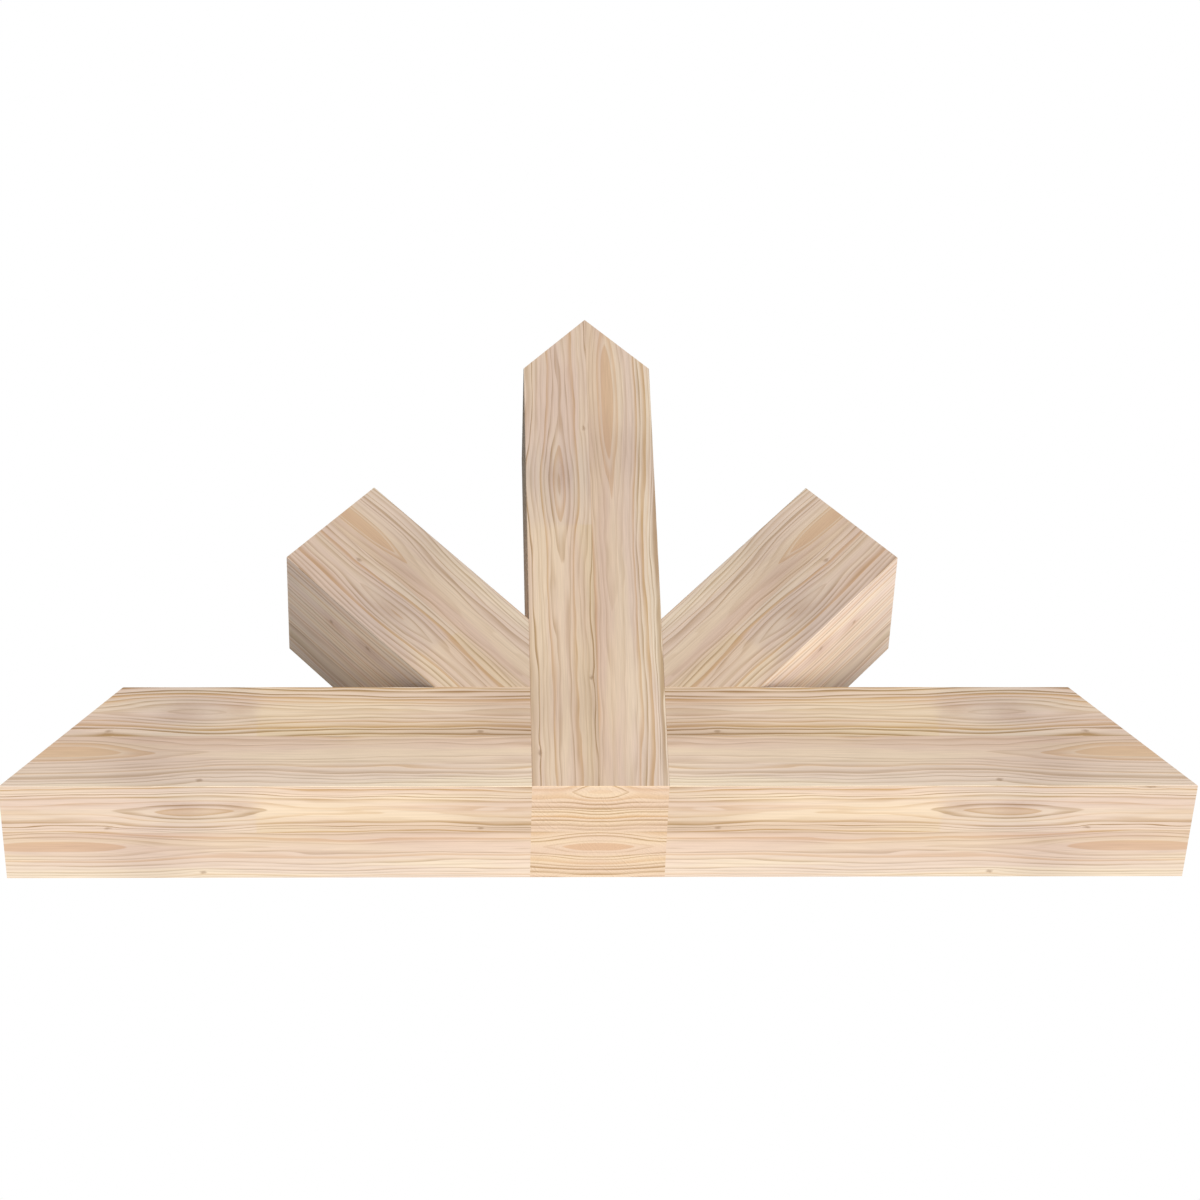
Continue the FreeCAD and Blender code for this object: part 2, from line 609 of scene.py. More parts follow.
GLUE_LINE = (0.7, 0.2)  # millimetres before the joint where the line begins, and where it is full


def make_glue_lines():
    """Group: the thin dark line where a stave is glued to its neighbour."""
    wiring, given, result = new_group("glue_lines", {"Board": VECTOR}, {"Glue": NUMBER})
    along, across, out = wiring.split(given["Board"])
    begin, full = (FACE - before for before in GLUE_LINE)
    wiring.feed(result["Glue"], wiring.rise(across, begin, full))


END_FACING = 0.4  # a face that turns this much along the grain is sawn across it
EDGE_FACING = (0.2, 0.4)  # the product of both ways, which is 0 on a face and 0.5 on an eased edge


def make_sawn_faces():
    """Group: 1 on a stave's side, 1 on faces sawn across the grain, 1 on the eased long edges."""
    inputs = {"Normal": VECTOR, "Inwards": VECTOR, "Across": VECTOR, "Front": VECTOR}
    outputs = {"Side": NUMBER, "End": NUMBER, "Edge": NUMBER}
    wiring, given, result = new_group("sawn_faces", inputs, outputs)
    facing = {}
    for way in ("Inwards", "Across", "Front"):
        pair = {0: given["Normal"], 1: given[way]}
        dot = wiring.node("ShaderNodeVectorMath", pair, operation="DOT_PRODUCT").outputs["Value"]
        facing[way] = wiring.math("ABSOLUTE", dot)
    wiring.feed(result["Side"], wiring.math("GREATER_THAN", facing["Across"], facing["Front"]))
    wiring.feed(result["End"], wiring.math("GREATER_THAN", facing["Inwards"], END_FACING))
    slope = wiring.math("MULTIPLY", facing["Across"], facing["Front"])
    wiring.feed(result["Edge"], wiring.rise(slope, *EDGE_FACING))


def make_wood_groups():
    """The effects that the staves and the dowels share."""
    if "growth_rings" in bpy.data.node_groups:
        return
    make_growth_rings()
    make_fir_grain()
    make_wood_fibre()
    make_knot()
    make_glue_lines()
    make_sawn_faces()


def board_space(wiring, outer_end, inwards, lateral, out):
    """Millimetres along a stave from its outer end, across one of its faces and out of it."""
    # A turn can't mirror, so a left-handed space is turned the other way and counted backwards
    turn = Matrix((inwards, lateral, out))
    hand = 1
    if turn.determinant() < 0:
        turn[0] = -turn[0]
        hand = -1
    inputs = {
        "Vector": wiring.node("ShaderNodeTexCoord").outputs["Object"],
        "Location": outer_end,
        "Rotation": turn.transposed().to_euler(),
        "Scale": (hand * MILLIMETRE, MILLIMETRE, MILLIMETRE),
    }
    return wiring.node("ShaderNodeMapping", inputs, vector_type="TEXTURE").outputs["Vector"]


WOOD_SHINE = 0.05  # bare planed wood hardly mirrors


def wood_surface(material, wiring, colour, roughness, height, relief):
    """Finish a wood material with its shader."""
    lift = {"Height": height, "Distance": relief, "Strength": 1.0}
    inputs = {
        "Base Color": colour,
        "Roughness": roughness,
        "Normal": wiring.node("ShaderNodeBump", lift).outputs["Normal"],
        "Specular IOR Level": WOOD_SHINE,
    }
    shader = wiring.node("ShaderNodeBsdfPrincipled", inputs)
    wiring.node("ShaderNodeOutputMaterial", {"Surface": shader.outputs["BSDF"]})


def empty_material(name):
    """A material with no nodes yet, and its wiring."""
    material = bpy.data.materials.new(name)
    material.use_nodes = True
    material.node_tree.nodes.clear()
    return material, Wiring(material.node_tree)


# Tones that multiply the colour of the wood, among them painted light on the tops and undersides of the
# braces and painted shade on the eased edges
AS_IT_IS = (1, 1, 1, 1)
POST_TONE = (0.96, 0.945, 0.945, 1)  # front and back of the post
BRACE_TONE = (0.925, 0.91, 0.905, 1)  # front and back of the braces
BRACE_SIDE_PAINTED_LIGHT = (1.03, 1.075, 1.15, 1)  # painted light: tops and undersides of the braces drawn paler and cooler, as the cool light falls on them
END_TONE = (1.03, 0.98, 0.91, 1)  # faces sawn across the grain
EDGE_PAINTED_SHADE = (0.95, 0.94, 0.92, 1)  # painted shade on the eased long edges, so that they don't catch the light as a bright line
SHADOW_TONE = (0.87, 0.82, 0.79, 1)  # over a hidden knot
PINK_BAND = (0.925, 0.945, 0.975, 1)
DARK_BAND = (0.9, 0.885, 0.89, 1)
PALE_BAND = (1.06, 1.06, 1.05, 1)
TONGUE_SIDES = ((1.05, 1.09, 1.12, 1), (0.95, 0.91, 0.89, 1))  # outer edge, and glue line
OUTER_TONE = (0.985, 0.975, 0.99, 1)  # before a change of tone along a stave
INNER_TONE = (1.06, 1.05, 1.02, 1)  # past it
GOLDEN_TONE = (0.965, 0.94, 0.87, 1)  # past it and close to the glue line
JOINT_BLUR = (16.0, 1.0)  # half the length of the change, at the outer edge and at the glue line


@dataclass(frozen=True)
class Figure:
    """How the grain shows on one face of a stave, in millimetres of board space."""

    heart: tuple  # its place across, its depth below the face and its radius
    bulge: tuple  # place along where the heart bulges to the face, length and height of the bulge
    faint: float = 24  # growth past the heart in which the lines gain their strength
    warm: float = 0.0  # how much of the heart's own colour shows
    strength: float = 1.0  # of the lines
    pins: tuple = ()  # pin knots, each as its place along, its place across and its radius
    shadows: tuple = ()  # soft dark spots over hidden knots, given like the pin knots
    bands: tuple = ()  # soft bands across the stave, each as its place, its length and its tone
    sides: tuple = ()  # tones at the outer edge and at the glue line
    joint: float | None = None  # place along where the tone of the wood changes

    def sockets(self):
        """The inputs of the growth rings that draw this figure."""
        values = dict(zip(("Heart Across", "Heart Below", "Heart Radius"), self.heart))
        values.update(zip(("Bulge Place", "Bulge Length", "Bulge Height"), self.bulge))
        values["Faint"] = self.faint
        return values


# Lines that close like an eye in the middle of the stave
ARCH_HEART = (2, 17, 2)
POST_ARCH = Figure(
    heart=ARCH_HEART,
    bulge=(268, 66, 8.5),
    strength=0.85,
    pins=((178, 30, 2.2), (558, 29, 2.2), (664, -26, 2.4)),
    shadows=((254, 0, 4.5),),
    bands=((252, 48, PINK_BAND), (592, 60, DARK_BAND)),
    joint=330,
)
CHORD_ARCH = Figure(
    heart=ARCH_HEART,
    bulge=(198, 66, 8.5),
    strength=1.2,
    pins=((107, 28, 2.2), (488, 28, 2.2)),
    shadows=((184, 0, 4.5), (240, -2, 3.4)),
    bands=((182, 48, PINK_BAND), (522, 60, DARK_BAND)),
    joint=259,
)
# The right half of the chord has one more knot below, which the front edge cuts through
CHORD_KNOT_ARCH = replace(CHORD_ARCH, pins=(*CHORD_ARCH.pins, (48, -FACE, 3.4)))
BRACE_ARCH = Figure(
    heart=ARCH_HEART,
    bulge=(155, 66, 5),
    strength=0.65,
    pins=((64, 22, 2.2),),
    shadows=((141, 0, 4),),
    bands=((139, 48, PINK_BAND),),
    joint=214,
)

# Lines about a warm tongue of heartwood near the outer end
POST_TONGUE = Figure(
    heart=(13, 17, 7.5),
    bulge=(125, 122, 17),
    faint=10,
    warm=1.0,
    strength=0.8,
    bands=((215, 50, DARK_BAND), (610, 110, PALE_BAND)),
    sides=TONGUE_SIDES,
)
CHORD_TONGUE = replace(
    POST_TONGUE,
    bulge=(52, 95, 17),
    strength=0.55,
    pins=((202, -26, 2.4),),
    bands=((145, 50, DARK_BAND), (540, 110, PALE_BAND)),
)
BRACE_TONGUE = replace(
    POST_TONGUE,
    bulge=(9, 95, 17),
    strength=0.62,
    bands=((102, 50, DARK_BAND),),
)

# Faces that turn up, sideways or back, and the undersides
PLAIN_ARCH = Figure(heart=(-3, 18, 3), bulge=(330, 120, 14), strength=0.75)
PLAIN_TONGUE = Figure(heart=(10, 18, 8), bulge=(60, 130, 16), warm=0.7, strength=0.75)
PLAIN_STRAIGHT = Figure(heart=(-62, 6, 8), bulge=(240, 160, 5), strength=0.75)
BRACE_UNDERSIDE = replace(
    PLAIN_STRAIGHT,
    strength=0.55,
    pins=((88, 4, 2.0), (150, -4, 2.4)),
    shadows=((92, 4, 4), (150, -4, 5)),
)
CHORD_UNDERSIDES = {"left": CHORD_ARCH, "right": CHORD_KNOT_ARCH}

# Faces sawn across the grain, of the front layer and of the rear one
FRONT_END = Figure(heart=(26, FACE + 12, 4), bulge=(FACE, 24, 12), faint=4, warm=0.4, strength=0.85)
REAR_END = Figure(heart=(-13, FACE + 12, 5), bulge=(FACE, 42, 12), faint=3, warm=1.0, strength=0.85)
END_FIGURES = {LAYERS["front"]: FRONT_END, LAYERS["rear"]: REAR_END}

KNOT_PUSH = 0.5  # how far a knot pushes the rings aside, in its radii
KNOT_STRENGTH = 0.5  # how much of its colour a pin knot shows
GLUE_STRENGTH = 0.2  # how much of the late wood's colour a glue line takes on


def knot_at(wiring, board, knot):
    """The outputs of the knot group for a knot, given as its place along, across and its radius."""
    return wiring.group("knot", {"Board": board, **dict(zip(("Along", "Across", "Radius"), knot))})


def toned(wiring, board, figure, colour):
    """The colour of a face with the tones of its figure laid over it."""
    math_of = wiring.math
    along, across, out = wiring.split(board)
    to_glue = wiring.rise(across, -FACE, FACE)
    for spot in figure.shadows:
        colour = wiring.shade(colour, SHADOW_TONE, knot_at(wiring, board, spot)["Swirl"])
    for place, length, tone in figure.bands:
        colour = wiring.shade(colour, tone, wiring.bell(along, place, length))
    if figure.sides:
        colour = wiring.shade(colour, wiring.mix(to_glue, *figure.sides))
    if figure.joint:
        blur = wiring.span(to_glue, *JOINT_BLUR)
        start = math_of("SUBTRACT", figure.joint, blur)
        past = wiring.rise(along, start, math_of("ADD", figure.joint, blur))
        inner = wiring.mix(wiring.rise(across, 0.0, FACE), INNER_TONE, GOLDEN_TONE)
        colour = wiring.shade(colour, wiring.mix(past, OUTER_TONE, inner))
    return colour


def face_grain(wiring, fir, board, figure, ring_width, seed):
    """The colour and the late wood of one face of a stave."""
    math_of = wiring.math
    core = 0.0
    push = 0.0
    for pin in figure.pins:
        knot = knot_at(wiring, board, pin)
        radius = pin[-1]
        core = math_of("MAXIMUM", core, knot["Core"])
        push = math_of("MULTIPLY_ADD", knot["Swirl"], radius * KNOT_PUSH, push)
    inputs = {
        **figure.sockets(),
        "Board": board,
        "Push": push,
        "Wander": fir.wander / MILLIMETRE,
        "Ring Width": ring_width / MILLIMETRE,
        "Seed": seed,
    }
    rings = wiring.group("growth_rings", inputs)
    inputs = {
        "Board": board,
        "Ring": rings["Ring"],
        "Phase": rings["Phase"],
        "Heartwood": math_of("MULTIPLY", rings["Heartwood"], figure.warm),
        "Steepness": rings["Steepness"],
        "Early": opaque(fir.early_colour),
        "Late": opaque(fir.late_colour),
        "Orange Late": opaque(fir.orange_colour),
        "Heart": opaque(fir.heart_colour),
        "Contrast": fir.contrast * figure.strength,
        "Seed": seed,
    }
    grain = wiring.group("fir_grain", inputs)
    colour = toned(wiring, board, figure, grain["Colour"])
    if figure.pins:
        colour = wiring.mix(math_of("MULTIPLY", core, KNOT_STRENGTH), colour, opaque(fir.knot_colour))
    glue = wiring.group("glue_lines", {"Board": board})["Glue"]
    colour = wiring.mix(math_of("MULTIPLY", glue, GLUE_STRENGTH), colour, opaque(fir.late_colour))
    return colour, grain["Late"]


SEED_STEP = math.pi  # between the staves of a timber, not whole so that none repeats another's rings
SIDE_SEED = 0.5  # past that of the front or back of the same stave
END_SEED = 2.0  # the ends of the front layer draw from one more, those of the rear from one less
FIBRE_SHADE = (0.84, 1.16)  # of the darkest and the palest fibres
PLANED_ROUGHNESS = (0.8, 0.92)  # between fibres, and on them
LATE_POLISH = -0.08  # the hard late wood is smoother
FIBRE_HEIGHT = 0.5  # as a share of the height of the late wood


def stave_material(name, fir, timber, side, deep, figures, seed):
    """The wood of one stave, which lies to a side of the timber's middle and in front or behind."""
    material, wiring = empty_material(name)
    math_of = wiring.math
    outer_end = timber.outer_end + (timber.across * side + FRONT * deep) * MIDDLE
    normal = wiring.node("ShaderNodeTexCoord").outputs["Normal"]
    ways = {"Normal": normal, "Inwards": timber.inwards, "Across": timber.across, "Front": FRONT}
    faces = wiring.group("sawn_faces", ways)

    # The grain of the front or back, of the side and of the sawn ends, which are drawn flat
    broad_board = board_space(wiring, outer_end, timber.inwards, timber.across * -side, FRONT * deep)
    side_board = board_space(wiring, outer_end, timber.inwards, FRONT * -deep, timber.across * side)
    end_board = board_space(wiring, outer_end, timber.across * -side, FRONT * deep, timber.inwards)
    flat = {0: end_board, 1: (1, 1, 0)}
    end_board = wiring.node("ShaderNodeVectorMath", flat, operation="MULTIPLY").outputs["Vector"]
    broad, broad_late = face_grain(wiring, fir, broad_board, figures[0], fir.ring_width, seed)
    narrow, narrow_late = face_grain(wiring, fir, side_board, figures[1], fir.ring_width, seed + SIDE_SEED)
    end_figure, end_seed = END_FIGURES[deep], END_SEED + deep
    sawn, sawn_late = face_grain(wiring, fir, end_board, end_figure, fir.end_ring_width, end_seed)

    colour = wiring.mix(faces["Side"], broad, narrow)
    # Fronts and backs take the tone of the wood; the other long sides take painted light, paler and cooler
    # on the braces
    colour = wiring.shade(colour, wiring.mix(faces["Side"], timber.tone, timber.painted_side_light))
    colour = wiring.mix(faces["End"], colour, wiring.shade(sawn, END_TONE))
    fibre = wiring.group("wood_fibre", {"Board": broad_board, "Seed": seed})["Fibre"]
    colour = wiring.shade(colour, wiring.span(fibre, *FIBRE_SHADE))
    # Painted shade on the eased long edges, which would otherwise catch the light
    colour = wiring.shade(colour, EDGE_PAINTED_SHADE, faces["Edge"])
    late = wiring.span(faces["Side"], broad_late, narrow_late)
    roughness = math_of("MULTIPLY_ADD", late, LATE_POLISH, wiring.span(fibre, *PLANED_ROUGHNESS))
    height = math_of("MULTIPLY_ADD", fibre, FIBRE_HEIGHT, late)
    wood_surface(material, wiring, colour, roughness, height, fir.relief)
    return material


@dataclass
class Timber:
    """Four staves that are glued together and share one direction of grain."""

    name: str
    outer_end: Vector  # on the line where its glue planes cross, from where lengths are counted
    inwards: Vector  # along the grain
    across: Vector  # square to the grain, in the plane of the front
    staves: dict  # by layer and place: the side across, the figure of its front or back and of its side
    tone: tuple = AS_IT_IS  # of the front and back
    painted_side_light: tuple = AS_IT_IS  # painted light on the other two long sides

    def finish(self, fir, seed):
        """Give every stave its own wood."""
        for (layer, place), (side, *figures) in self.staves.items():
            node = f"{self.name}_{layer}_{place}_stave"
            seed += SEED_STEP
            material = stave_material(f"{node}_fir", fir, self, side, LAYERS[layer], figures, seed)
            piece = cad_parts[node]
            piece.data.materials.clear()
            piece.data.materials.append(material)


def king_post():
    """The upright, with its grain running down from the peak."""
    staves = {
        ("front", "left"): (-1, POST_ARCH, PLAIN_STRAIGHT),
        ("front", "right"): (1, POST_TONGUE, PLAIN_STRAIGHT),
        ("rear", "left"): (-1, PLAIN_TONGUE, PLAIN_ARCH),
        ("rear", "right"): (1, PLAIN_ARCH, PLAIN_TONGUE),
    }
    return Timber("king_post", UPRIGHT * PEAK, -UPRIGHT, LEVEL, staves, POST_TONE)


def half_chord(side):
    """One half of the bottom chord, with its grain running inwards from the tip."""
    sign = SIDES[side]
    staves = {
        ("front", "upper"): (1, CHORD_ARCH, PLAIN_TONGUE),
        ("front", "lower"): (-1, CHORD_TONGUE, CHORD_UNDERSIDES[side]),
        ("rear", "upper"): (1, PLAIN_TONGUE, PLAIN_ARCH),
        ("rear", "lower"): (-1, PLAIN_ARCH, CHORD_TONGUE),
    }
    outer_end = LEVEL * sign * TIP + UPRIGHT * STAVE
    return Timber(f"{side}_chord", outer_end, LEVEL * -sign, UPRIGHT, staves)


def brace(side):
    """A raking strut, with its grain running down from the roof."""
    sign = SIDES[side]
    staves = {
        ("front", "upper"): (1, BRACE_TONGUE, PLAIN_STRAIGHT),
        ("front", "lower"): (-1, BRACE_ARCH, BRACE_UNDERSIDE),
        ("rear", "upper"): (1, PLAIN_ARCH, PLAIN_TONGUE),
        ("rear", "lower"): (-1, PLAIN_TONGUE, PLAIN_ARCH),
    }
    # The glue plane meets the roof where the upper stave reaches farthest out and the lower one up
    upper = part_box(f"{side}_brace_front_upper_stave")
    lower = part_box(f"{side}_brace_front_lower_stave")
    roof_x = max(sign * corner.x for corner in upper)
    outer_end = Vector((sign * roof_x, 0, lower[1].z))
    inwards = Vector((-sign * math.cos(BRACE_ANGLE), 0, -math.sin(BRACE_ANGLE)))
    across = Vector((-sign * math.sin(BRACE_ANGLE), 0, math.cos(BRACE_ANGLE)))
    return Timber(f"{side}_brace", outer_end, inwards, across, staves, BRACE_TONE, BRACE_SIDE_PAINTED_LIGHT)


def new_object(name, data):
    """An object at the origin that shows a mesh, or holds a lamp or a camera."""
    made = bpy.data.objects.new(name, data)
    bpy.context.scene.collection.objects.link(made)
    return made


# The dowels of the truss and the way that they run
DOWELS = {
    "chord_tie_dowels": LEVEL,
    "brace_post_dowels": LEVEL,
    "brace_seat_dowels": UPRIGHT,
}
DOWEL_FIGURE = Figure(heart=(-60, 5, 8), bulge=(0, 100, 0))  # straight lines, far from the heart
DOWEL_SEED = 5.0
DOWEL_LINE = (0.4, 0.95)  # where in a ring the darker wood starts, and where it is full
DOWEL_SHADE = (0.9, 1.1)  # of the darkest and the palest fibres
TURNED_ROUGHNESS = (0.6, 0.75)  # between fibres, and on them
FLUTE_POINTS = 4  # points of the outline for each flute, of which one is pushed in
AXIS_POINTS = 4  # both ends of a dowel, and the inner edges of both chamfers
AXIS_MIDDLE = (AXIS_POINTS - 1) / 2  # between the points of the near half and of the far half
START_DIGITS = 5  # decimal places of a metre, to which two starts that agree count as one


def make_fluted_dowels():
    """Geometry group: a fluted dowel with chamfered ends, from every point along the turned Z."""
    tree = bpy.data.node_groups.new("fluted_dowels", "GeometryNodeTree")
    tree.interface.new_socket("Starts", in_out="INPUT", socket_type="NodeSocketGeometry")
    sockets = {
        "Diameter": NUMBER,
        "Length": NUMBER,
        "Chamfer": NUMBER,
        "Flutes": "NodeSocketInt",
        "Flute Depth": NUMBER,
        "Turn": "NodeSocketRotation",
        "Material": "NodeSocketMaterial",
    }
    for label, kind in sockets.items():
        tree.interface.new_socket(label, in_out="INPUT", socket_type=kind)
    tree.interface.new_socket("Dowels", in_out="OUTPUT", socket_type="NodeSocketGeometry")
    wiring = Wiring(tree)
    math_of = wiring.math
    given = wiring.node("NodeGroupInput").outputs
    index = wiring.node("GeometryNodeInputIndex").outputs["Index"]
    radius = math_of("MULTIPLY", given["Diameter"], 0.5)

    # Round outline, with one point of every flute pushed in to make a groove
    corners = {"Resolution": math_of("MULTIPLY", given["Flutes"], FLUTE_POINTS), "Radius": radius}
    outline = wiring.node("GeometryNodeCurvePrimitiveCircle", corners).outputs["Curve"]
    groove = math_of("LESS_THAN", math_of("MODULO", index, FLUTE_POINTS), 0.5)
    push = math_of("MULTIPLY", math_of("MULTIPLY", groove, given["Flute Depth"]), -1.0)
    place = wiring.node("GeometryNodeInputPosition").outputs["Position"]
    outwards = wiring.node("ShaderNodeVectorMath", {0: place}, operation="NORMALIZE").outputs["Vector"]
    inputs = {0: outwards, "Scale": push}
    move = wiring.node("ShaderNodeVectorMath", inputs, operation="SCALE").outputs["Vector"]
    outline = wiring.node("GeometryNodeSetPosition", {"Geometry": outline, "Offset": move})

    # Axis through both ends and the inner edges of both chamfers
    axis = wiring.node("GeometryNodeCurvePrimitiveLine", {"End": (0, 0, 1)}).outputs["Curve"]
    inputs = {"Curve": axis, "Count": AXIS_POINTS}
    axis = wiring.node("GeometryNodeResampleCurve", inputs).outputs["Curve"]
    far = math_of("GREATER_THAN", index, AXIS_MIDDLE)
    off_middle = math_of("ABSOLUTE", math_of("SUBTRACT", index, AXIS_MIDDLE))
    inner = math_of("LESS_THAN", off_middle, 1.0)
    inset = math_of("MULTIPLY", inner, given["Chamfer"])
    way_in = math_of("MULTIPLY_ADD", far, -2.0, 1.0)  # 1 from the near end, -1 from the far end
    inset = math_of("MULTIPLY", inset, way_in)
    height = math_of("MULTIPLY_ADD", far, given["Length"], inset)
    spot = wiring.node("ShaderNodeCombineXYZ", {"Z": height}).outputs["Vector"]
    axis = wiring.node("GeometryNodeSetPosition", {"Geometry": axis, "Position": spot})
    lost = math_of("MULTIPLY", math_of("SUBTRACT", 1.0, inner), given["Chamfer"])
    inputs = {
        "Curve": axis.outputs["Geometry"],
        "Profile Curve": outline.outputs["Geometry"],
        "Scale": math_of("SUBTRACT", 1.0, math_of("DIVIDE", lost, radius)),
        "Fill Caps": True,
    }
    dowel = wiring.node("GeometryNodeCurveToMesh", inputs).outputs["Mesh"]
    inputs = {"Points": given["Starts"], "Instance": dowel, "Rotation": given["Turn"]}
    row = wiring.node("GeometryNodeInstanceOnPoints", inputs).outputs["Instances"]
    row = wiring.node("GeometryNodeRealizeInstances", {"Geometry": row}).outputs["Geometry"]
    inputs = {"Geometry": row, "Material": given["Material"]}
    row = wiring.node("GeometryNodeSetMaterial", inputs).outputs["Geometry"]
    wiring.node("NodeGroupOutput", {"Dowels": row})
    return tree


def dowel_starts(node, axis, diameter, length):
    """Where the dowels of a node begin, worked out from the box that they fill."""
    low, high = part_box(node)
    places = []
    for near, away, way in zip(low, high, axis):
        ends = (near, away - length) if way else (near + diameter / 2, away - diameter / 2)
        places.append(sorted({round(end, START_DIGITS) for end in ends}))
    return list(itertools.product(*places))


def dowel_material(name, settings, axis):
    """Turned hardwood with its grain along the dowels."""
    material, wiring = empty_material(name)
    board = board_space(wiring, Vector(), axis, FRONT, axis.cross(FRONT))
    inputs = {
        **DOWEL_FIGURE.sockets(),
        "Board": board,
        "Push": 0.0,
        "Wander": settings.wander / MILLIMETRE,
        "Ring Width": settings.ring_width / MILLIMETRE,
        "Seed": DOWEL_SEED,
    }
    late = wiring.rise(wiring.group("growth_rings", inputs)["Phase"], *DOWEL_LINE)
    fibre = wiring.group("wood_fibre", {"Board": board, "Seed": DOWEL_SEED})["Fibre"]
    colour = wiring.mix(late, opaque(settings.colour), opaque(settings.line_colour))
    colour = wiring.shade(colour, wiring.span(fibre, *DOWEL_SHADE))
    roughness = wiring.span(fibre, *TURNED_ROUGHNESS)
    wood_surface(material, wiring, colour, roughness, fibre, settings.relief)
    return material


def make_dowels(node, settings, tree):
    """One group of like dowels as a plain mesh, in place of the plain cylinders of the node."""
    axis = DOWELS[node]
    low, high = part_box(node)
    diameter, length = settings.peg_diameter, settings.peg_length
    if node == "chord_tie_dowels":
        diameter, length = settings.tie_diameter, (high - low).x
    material = dowel_material(f"{node}_hardwood", settings, axis)
    starts = bpy.data.meshes.new(f"{node}_starts")
    starts.from_pydata(dowel_starts(node, axis, diameter, length), [], [])
    pattern = new_object(f"{node}_pattern", starts)
    modifier = pattern.modifiers.new("dowels", "NODES")
    modifier.node_group = tree
    values = {
        "Diameter": diameter,
        "Length": length,
        "Chamfer": settings.chamfer,
        "Flutes": settings.flutes,
        "Flute Depth": settings.flute_depth,
        "Turn": UPRIGHT.rotation_difference(axis).to_euler(),
        "Material": material,
    }
    for socket in tree.interface.items_tree:
        if socket.name in values:
            modifier[socket.identifier] = values[socket.name]
    shown = pattern.evaluated_get(bpy.context.evaluated_depsgraph_get())
    mesh = bpy.data.meshes.new_from_object(shown)
    bpy.data.objects.remove(pattern)
    mesh.name = f"fluted_{node}"
    piece = new_object(mesh.name, mesh)
    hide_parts(node)
    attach(piece, "root")


FLOOR_DROP = MILLIMETRE  # below the underside, so that the two don't share a plane
FLOOR_ROUGHNESS = 0.9
SENSOR_WIDTH = 36  # millimetres

# Ways from the truss to the lamps
KEY_TOWARDS = (0.22, -0.585, -0.78)
FILL_TOWARDS = (0.334, -0.64, -0.69)
BACK_TOWARDS = (0.12, 0.66, 0.74)


def make_floor(stage):
    """A pale floor that the camera sees from above only, so that it never hides the underside."""
    half = stage.floor_size / 2
    corners = [(-half, -half), (half, -half), (half, half), (-half, half)]
    mesh = bpy.data.meshes.new("floor")
    mesh.from_pydata([(x, y, -FLOOR_DROP) for x, y in corners], [], [(0, 1, 2, 3)])
    floor = new_object("floor", mesh)
    floor.visible_shadow = False
    floor.visible_diffuse = False
    floor.visible_glossy = False
    material, wiring = empty_material("floor_paint")
    colour = opaque(stage.floor_colour)
    finish = {
        "Base Color": colour,
        "Roughness": FLOOR_ROUGHNESS,
        "Emission Color": colour,
        "Emission Strength": stage.floor_glow,
    }
    paint = wiring.node("ShaderNodeBsdfPrincipled", finish)
    clear = wiring.node("ShaderNodeBsdfTransparent")
    inputs = {
        0: wiring.node("ShaderNodeNewGeometry").outputs["Backfacing"],
        1: paint.outputs["BSDF"],
        2: clear.outputs["BSDF"],
    }
    shown = wiring.node("ShaderNodeMixShader", inputs)
    wiring.node("ShaderNodeOutputMaterial", {"Surface": shown.outputs["Shader"]})
    mesh.materials.append(material)


def make_world(stage):
    """A white surround for the camera and for reflections, and even light for the truss."""
    world = bpy.data.worlds.new("studio")
    world.use_nodes = True
    world.node_tree.nodes.clear()
    wiring = Wiring(world.node_tree)
    ray = wiring.node("ShaderNodeLightPath").outputs
    seen = wiring.math("MAXIMUM", ray["Is Camera Ray"], ray["Is Glossy Ray"])
    seen = wiring.math("MAXIMUM", seen, ray["Is Transmission Ray"])
    glow = {"Color": opaque(stage.ambient_colour), "Strength": stage.ambient}
    light = wiring.node("ShaderNodeBackground", glow)
    white = wiring.node("ShaderNodeBackground", {"Color": (1, 1, 1, 1), "Strength": 1.0})
    inputs = {0: seen, 1: light.outputs["Background"], 2: white.outputs["Background"]}
    shown = wiring.node("ShaderNodeMixShader", inputs)
    wiring.node("ShaderNodeOutputWorld", {"Surface": shown.outputs["Shader"]})
    bpy.context.scene.world = world


def make_lamp(name, towards, strength, spread):
    """A lamp that stands in a direction from the truss."""
    lamp = bpy.data.lights.new(name, "SUN")
    lamp.energy = strength
    lamp.angle = spread
    made = new_object(name, lamp)
    made.rotation_mode = "QUATERNION"
    made.rotation_quaternion = Vector(towards).to_track_quat("Z", "Y")


def make_camera(stage):
    """The camera that looks up at the gable."""
    pitch, yaw = stage.camera_pitch, stage.camera_yaw
    flat = math.cos(pitch)
    ahead = Vector((math.sin(yaw) * flat, math.cos(yaw) * flat, math.sin(pitch)))
    level = Vector((math.cos(yaw), -math.sin(yaw), 0))
    turn = Matrix((level, level.cross(ahead), -ahead)).transposed()
    turn = turn @ Matrix.Rotation(stage.camera_roll, 3, "Z")
    lens = bpy.data.cameras.new("camera")
    lens.sensor_width = SENSOR_WIDTH
    lens.lens = stage.lens
    made = new_object("camera", lens)
    made.matrix_world = Matrix.Translation(stage.camera_place) @ turn.to_4x4()
    bpy.context.scene.camera = made


# Where the random draws of the timbers start. Left and right draw alike.
POST_SEED = 1.7
CHORD_SEED = 23.4
BRACE_SEED = 47.9


class TRUSS_OT_finish_king_post(bpy.types.Operator):
    """Give the king post its wood"""

    bl_idname = "truss.finish_king_post"
    bl_label = "Finish King Post"

    def execute(self, context):
        make_wood_groups()
        king_post().finish(context.scene.truss_fir, POST_SEED)
        return {"FINISHED"}


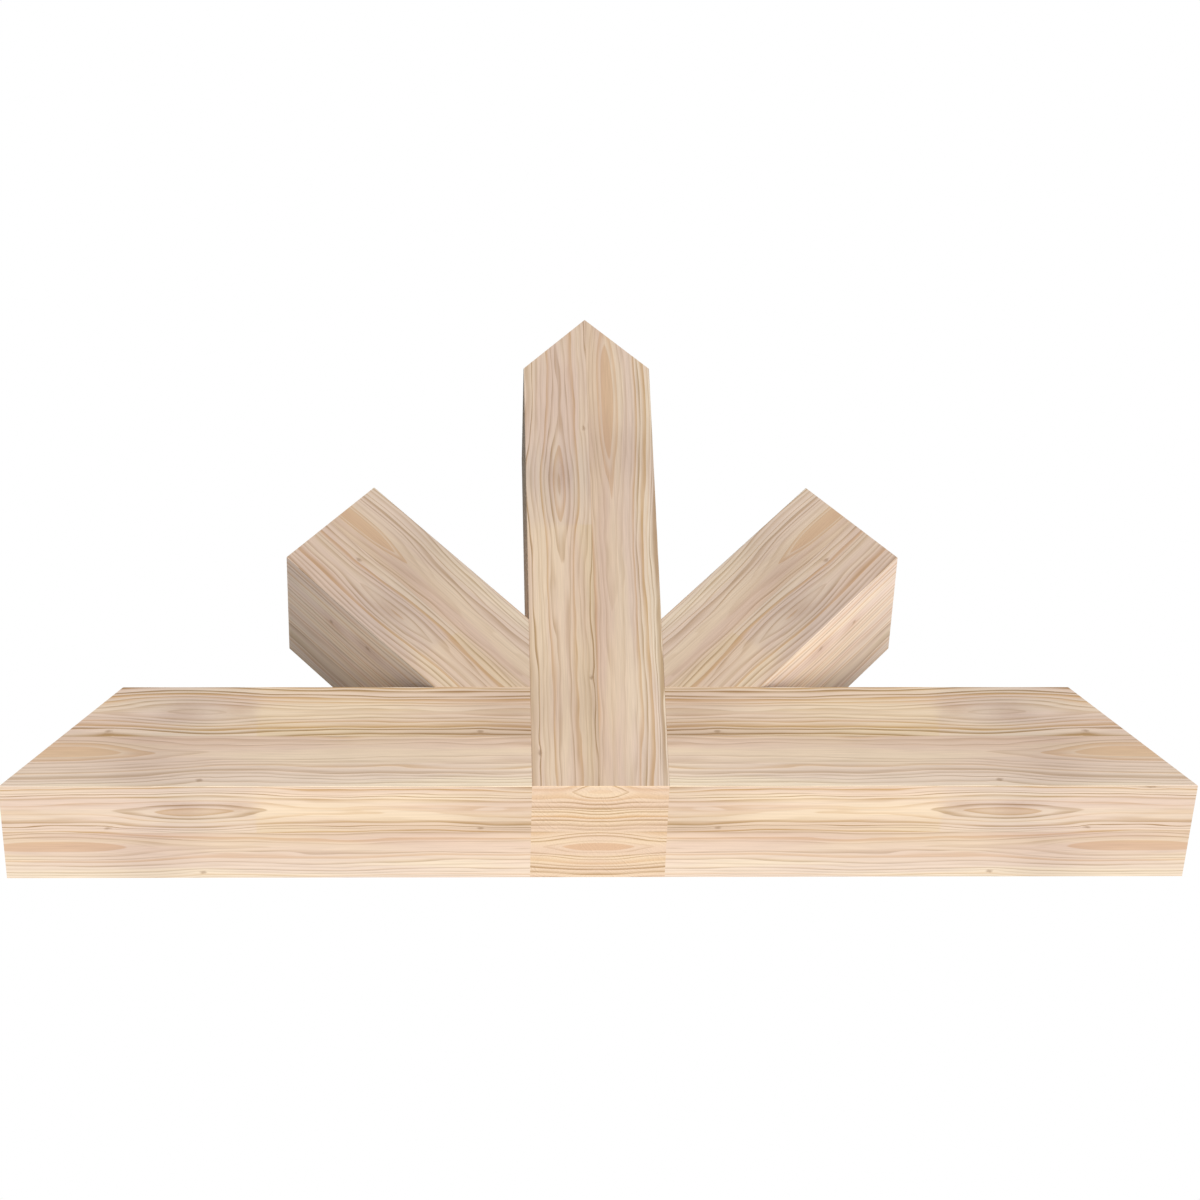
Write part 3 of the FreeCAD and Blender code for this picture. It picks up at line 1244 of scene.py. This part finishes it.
class TRUSS_OT_finish_chord(bpy.types.Operator):
    """Give both halves of the bottom chord their wood"""

    bl_idname = "truss.finish_chord"
    bl_label = "Finish Chord"

    def execute(self, context):
        make_wood_groups()
        for side in SIDES:
            half_chord(side).finish(context.scene.truss_fir, CHORD_SEED)
        return {"FINISHED"}


class TRUSS_OT_finish_braces(bpy.types.Operator):
    """Give both braces their wood"""

    bl_idname = "truss.finish_braces"
    bl_label = "Finish Braces"

    def execute(self, context):
        make_wood_groups()
        for side in SIDES:
            brace(side).finish(context.scene.truss_fir, BRACE_SEED)
        return {"FINISHED"}


class TRUSS_OT_make_dowels(bpy.types.Operator):
    """Make the fluted dowels that hold the timbers together"""

    bl_idname = "truss.make_dowels"
    bl_label = "Make Dowels"

    def execute(self, context):
        make_wood_groups()
        tree = make_fluted_dowels()
        for node in DOWELS:
            make_dowels(node, context.scene.truss_dowels, tree)
        return {"FINISHED"}


class TRUSS_OT_set_stage(bpy.types.Operator):
    """Set up the floor, the light and the camera"""

    bl_idname = "truss.set_stage"
    bl_label = "Set Stage"

    def execute(self, context):
        stage = context.scene.truss_stage
        make_floor(stage)
        make_world(stage)
        make_lamp("key_lamp", KEY_TOWARDS, stage.key_strength, stage.key_spread)
        make_lamp("fill_lamp", FILL_TOWARDS, stage.fill_strength, stage.fill_spread)
        make_lamp("back_lamp", BACK_TOWARDS, stage.back_strength, stage.back_spread)
        make_camera(stage)
        context.scene.view_settings.view_transform = "Standard"
        return {"FINISHED"}


class TRUSS_PT_panel(bpy.types.Panel):
    """The settings of the truss and the steps that dress it."""

    bl_idname = "TRUSS_PT_panel"
    bl_label = "Gable Truss"
    bl_space_type = "VIEW_3D"
    bl_region_type = "UI"
    bl_category = "Gable Truss"

    def draw(self, context):
        for name, kind in SETTINGS.items():
            column = self.layout.box().column()
            for setting in kind.__annotations__:
                column.prop(getattr(context.scene, name), setting)
        for operator in OPERATORS:
            self.layout.operator(operator.bl_idname)


OPERATORS = (
    TRUSS_OT_finish_king_post,
    TRUSS_OT_finish_chord,
    TRUSS_OT_finish_braces,
    TRUSS_OT_make_dowels,
    TRUSS_OT_set_stage,
)
SETTINGS = {
    "truss_fir": FirSettings,
    "truss_dowels": DowelSettings,
    "truss_stage": StageSettings,
}


def register():
    for kind in (*SETTINGS.values(), *OPERATORS, TRUSS_PT_panel):
        bpy.utils.register_class(kind)
    for name, kind in SETTINGS.items():
        setattr(bpy.types.Scene, name, PointerProperty(type=kind))


def unregister():
    for name in SETTINGS:
        delattr(bpy.types.Scene, name)
    for kind in (TRUSS_PT_panel, *reversed(OPERATORS), *reversed(SETTINGS.values())):
        bpy.utils.unregister_class(kind)


def main():
    register()
    bpy.ops.truss.finish_king_post()
    bpy.ops.truss.finish_chord()
    bpy.ops.truss.finish_braces()
    bpy.ops.truss.make_dowels()
    bpy.ops.truss.set_stage()


if __name__ == "__main__":
    main()
